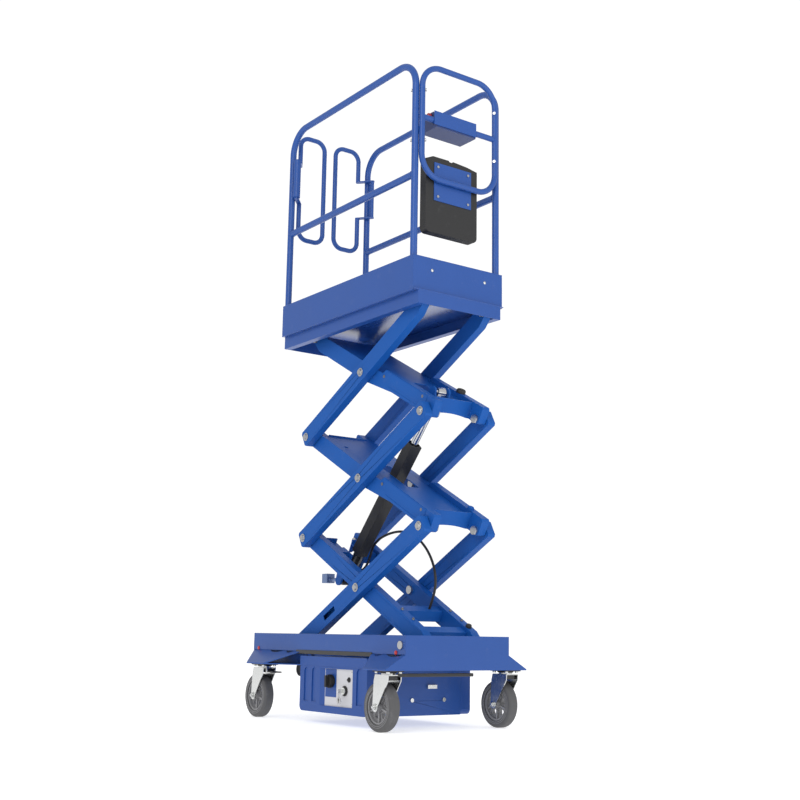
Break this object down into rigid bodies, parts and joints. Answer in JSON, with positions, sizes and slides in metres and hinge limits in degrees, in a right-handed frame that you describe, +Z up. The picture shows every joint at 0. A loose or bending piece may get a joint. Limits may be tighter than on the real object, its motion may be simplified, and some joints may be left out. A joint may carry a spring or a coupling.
{
  "type": "scissor work platform",
  "caption": "Push-around scissor work platform: stacked crossed arms on a wheeled box chassis lift a small guarded deck with gates, a control box and a document box.",
  "frame": {"origin": "on the floor under the middle of the bounding box", "axes": "+X towards the end with the control box, +Y the left-hand long side, +Z up"},
  "size_m": [1.2667, 0.758, 2.97],
  "materials": {
    "chassis_blue": "gloss powder coat, blue",
    "arm_blue": "gloss powder coat, blue",
    "platform_blue": "gloss powder coat, blue",
    "cover_blue": "moulded plastic, blue",
    "zinc_plate": "bright zinc plate",
    "bearing_black": "black",
    "silver_head": "domed bright heads",
    "tyre_grey": "grey rubber",
    "hub_grey": "moulded hub, grey",
    "black_plastic": "black moulding",
    "rod_chrome": "hard chrome rod",
    "cylinder_black": "black paint",
    "valve_grey": "anodised block",
    "hose_black": "rubber hose",
    "label_grey": "light grey instrument plate",
    "estop_red": "red button",
    "steel_dark": "machined steel",
    "unit_grey": "grey paint"
  },
  "bodies": {
    "chassis": {"side_beams": "chassis_blue", "chassis_ends": "chassis_blue", "base_pivot_pins": "silver_head", "box_tray": "chassis_blue", "box_covers": "cover_blue", "batteries": "black_plastic", "hydraulic_unit": "unit_grey", "battery_charger": "black_plastic", "panel_plate": "label_grey", "caster_plates": "bearing_black", "chassis_bolts": "zinc_plate"},
    "isolator": {"isolator_knob": "black_plastic"},
    "key": {"key_switch": "zinc_plate"},
    "inner_bottom": {"inner_arms_bottom": "arm_blue", "inner_cross_bottom": "arm_blue", "pivot_pins_bottom": "silver_head", "lift_hose": "hose_black"},
    "outer_bottom": {"outer_arms_bottom": "arm_blue"},
    "inner_middle": {"inner_arms_middle": "arm_blue", "inner_cross_middle": "arm_blue", "pivot_pins_middle": "silver_head"},
    "outer_middle": {"outer_arms_middle": "arm_blue"},
    "inner_top": {"inner_arms_top": "arm_blue", "inner_cross_top": "arm_blue", "pivot_pins_top": "silver_head"},
    "outer_top": {"outer_arms_top": "arm_blue"},
    "rollers_base": {"base_rollers": "steel_dark"},
    "rollers_platform": {"platform_rollers": "steel_dark"},
    "cylinder_sleeve": {"cylinder_cover": "black_plastic"},
    "cylinder_foot": {"cylinder_barrel": "cylinder_black", "valve_block": "valve_grey"},
    "cylinder_ram": {"cylinder_rod": "rod_chrome"},
    "platform": {"platform_frame": "platform_blue", "platform_deck": "platform_blue", "toeboards": "platform_blue", "guardrail_left": "platform_blue", "guardrail_right": "platform_blue", "front_loop": "platform_blue", "control_box": "unit_grey", "document_box": "black_plastic", "platform_bolts": "zinc_plate"},
    "gate_left": {"gate_left": "platform_blue"},
    "gate_right": {"gate_right": "platform_blue"},
    "estop": {"platform_estop": "estop_red"},
    "lever": {"lift_lever": "black_plastic"},
    "lid": {"document_lid": "black_plastic"},
    "swivel_front_left": {"fork_front_left": "zinc_plate"},
    "wheel_front_left": {"tyre_front_left": "tyre_grey", "hub_front_left": "hub_grey"},
    "swivel_front_right": {"fork_front_right": "zinc_plate"},
    "wheel_front_right": {"tyre_front_right": "tyre_grey", "hub_front_right": "hub_grey"},
    "swivel_rear_left": {"fork_rear_left": "zinc_plate"},
    "wheel_rear_left": {"tyre_rear_left": "tyre_grey", "hub_rear_left": "hub_grey"},
    "swivel_rear_right": {"fork_rear_right": "zinc_plate"},
    "wheel_rear_right": {"tyre_rear_right": "tyre_grey", "hub_rear_right": "hub_grey"},
    "pedal_rear_left": {"brake_pedal_rear_left": "black_plastic"},
    "pedal_rear_right": {"brake_pedal_rear_right": "black_plastic"}
  },
  "joints": [
    {"name": "lift", "type": "hinge", "parent": "chassis", "child": "inner_bottom", "pos_m": [0.588, 0, 0.349], "axis": [0, 1, 0], "range_deg": [-21.5, 28], "deforming": ["lift_hose"]},
    {"name": "cross_bottom", "type": "hinge", "parent": "inner_bottom", "child": "outer_bottom", "pos_m": [0.12445, 0, 0.59547], "axis": [0, 1, 0], "range_deg": [-56.01, 43.01]},
    {"name": "front_joint_1", "type": "hinge", "parent": "outer_bottom", "child": "inner_middle", "pos_m": [0.588, 0, 0.84195], "axis": [0, 1, 0], "range_deg": [-43.01, 56.01]},
    {"name": "cross_middle", "type": "hinge", "parent": "inner_middle", "child": "outer_middle", "pos_m": [0.12445, 0, 1.08842], "axis": [0, 1, 0], "range_deg": [-56.01, 43.01]},
    {"name": "front_joint_2", "type": "hinge", "parent": "outer_middle", "child": "inner_top", "pos_m": [0.588, 0, 1.33489], "axis": [0, 1, 0], "range_deg": [-43.01, 56.01]},
    {"name": "cross_top", "type": "hinge", "parent": "inner_top", "child": "outer_top", "pos_m": [0.12445, 0, 1.58136], "axis": [0, 1, 0], "range_deg": [-56.01, 43.01]},
    {"name": "platform_pivot", "type": "hinge", "parent": "outer_top", "child": "platform", "pos_m": [0.588, 0, 1.82784], "axis": [0, 1, 0], "range_deg": [-21.51, 28.01]},
    {"name": "cylinder_swing", "type": "hinge", "parent": "inner_middle", "child": "cylinder_sleeve", "pos_m": [0.11223, 0, 1.05052], "axis": [0, 1, 0], "range_deg": [-49.36, 37.91]},
    {"name": "ram_stroke", "type": "slide", "parent": "cylinder_sleeve", "child": "cylinder_ram", "axis": [0.6646, 0, 0.7472], "range_m": [-0.12528, 0.16315]},
    {"name": "barrel_stroke", "type": "slide", "parent": "cylinder_sleeve", "child": "cylinder_foot", "axis": [0.6646, 0, 0.7472], "range_m": [-0.16315, 0.12528]},
    {"name": "base_roller_turn", "type": "hinge", "parent": "outer_bottom", "child": "rollers_base", "pos_m": [-0.33909, 0, 0.349], "axis": [0, 1, 0], "continuous": true},
    {"name": "platform_roller_turn", "type": "hinge", "parent": "inner_top", "child": "rollers_platform", "pos_m": [-0.33909, 0, 1.82784], "axis": [0, 1, 0], "continuous": true},
    {"name": "swivel_front_left_turn", "type": "hinge", "parent": "chassis", "child": "swivel_front_left", "pos_m": [0.556, 0.315, 0.215], "axis": [0, 0, 1], "continuous": true},
    {"name": "wheel_front_left_turn", "type": "hinge", "parent": "swivel_front_left", "child": "wheel_front_left", "pos_m": [0.514, 0.315, 0.1], "axis": [0, 1, 0], "continuous": true},
    {"name": "swivel_front_right_turn", "type": "hinge", "parent": "chassis", "child": "swivel_front_right", "pos_m": [0.556, -0.315, 0.215], "axis": [0, 0, 1], "continuous": true},
    {"name": "wheel_front_right_turn", "type": "hinge", "parent": "swivel_front_right", "child": "wheel_front_right", "pos_m": [0.514, -0.315, 0.1], "axis": [0, 1, 0], "continuous": true},
    {"name": "swivel_rear_left_turn", "type": "hinge", "parent": "chassis", "child": "swivel_rear_left", "pos_m": [-0.45, 0.315, 0.215], "axis": [0, 0, 1], "continuous": true},
    {"name": "wheel_rear_left_turn", "type": "hinge", "parent": "swivel_rear_left", "child": "wheel_rear_left", "pos_m": [-0.492, 0.315, 0.1], "axis": [0, 1, 0], "continuous": true},
    {"name": "swivel_rear_right_turn", "type": "hinge", "parent": "chassis", "child": "swivel_rear_right", "pos_m": [-0.45, -0.315, 0.215], "axis": [0, 0, 1], "continuous": true},
    {"name": "wheel_rear_right_turn", "type": "hinge", "parent": "swivel_rear_right", "child": "wheel_rear_right", "pos_m": [-0.492, -0.315, 0.1], "axis": [0, 1, 0], "continuous": true},
    {"name": "brake_rear_left", "type": "hinge", "parent": "swivel_rear_left", "child": "pedal_rear_left", "pos_m": [-0.395, 0.315, 0.2167], "axis": [0, 1, 0], "range_deg": [0, 18]},
    {"name": "brake_rear_right", "type": "hinge", "parent": "swivel_rear_right", "child": "pedal_rear_right", "pos_m": [-0.395, -0.315, 0.2167], "axis": [0, 1, 0], "range_deg": [0, 18]},
    {"name": "gate_left_swing", "type": "hinge", "parent": "platform", "child": "gate_left", "pos_m": [-0.439, 0.2352, 2.69], "axis": [0, 0, 1], "range_deg": [0, 90]},
    {"name": "gate_right_swing", "type": "hinge", "parent": "platform", "child": "gate_right", "pos_m": [-0.439, -0.2352, 2.69], "axis": [0, 0, 1], "range_deg": [-90, 0]},
    {"name": "isolator_turn", "type": "hinge", "parent": "chassis", "child": "isolator", "pos_m": [0.074, -0.275, 0.186], "axis": [0, 1, 0], "range_deg": [0, 90]},
    {"name": "key_turn", "type": "hinge", "parent": "chassis", "child": "key", "pos_m": [0.18, -0.275, 0.148], "axis": [0, 1, 0], "range_deg": [-45, 45]},
    {"name": "estop_press", "type": "slide", "parent": "platform", "child": "estop", "axis": [0, 1, 0], "range_m": [0, 0.004], "stiffness_N_per_m": 500, "springref_m": -0.002},
    {"name": "lever_tilt", "type": "hinge", "parent": "platform", "child": "lever", "pos_m": [0.513, 0, 2.715], "axis": [0, 1, 0], "range_deg": [-25, 25], "stiffness_Nm_per_rad": 0.5},
    {"name": "lid_open", "type": "hinge", "parent": "platform", "child": "lid", "pos_m": [0.5362, 0, 2.48], "axis": [0, 1, 0], "range_deg": [-110, 0]}
  ],
  "couplings": [
    {"joint": "cross_bottom", "follows": "lift", "ratio": -2},
    {"joint": "front_joint_1", "follows": "lift", "ratio": 2},
    {"joint": "cross_middle", "follows": "lift", "ratio": -2},
    {"joint": "front_joint_2", "follows": "lift", "ratio": 2},
    {"joint": "cross_top", "follows": "lift", "ratio": -2},
    {"joint": "platform_pivot", "follows": "lift", "ratio": 1},
    {"joint": "cylinder_swing", "follows": "lift", "ratio": -1.7626},
    {"joint": "ram_stroke", "follows": "lift", "m_per_rad": 0.3338},
    {"joint": "barrel_stroke", "follows": "lift", "m_per_rad": -0.3338}
  ]
}
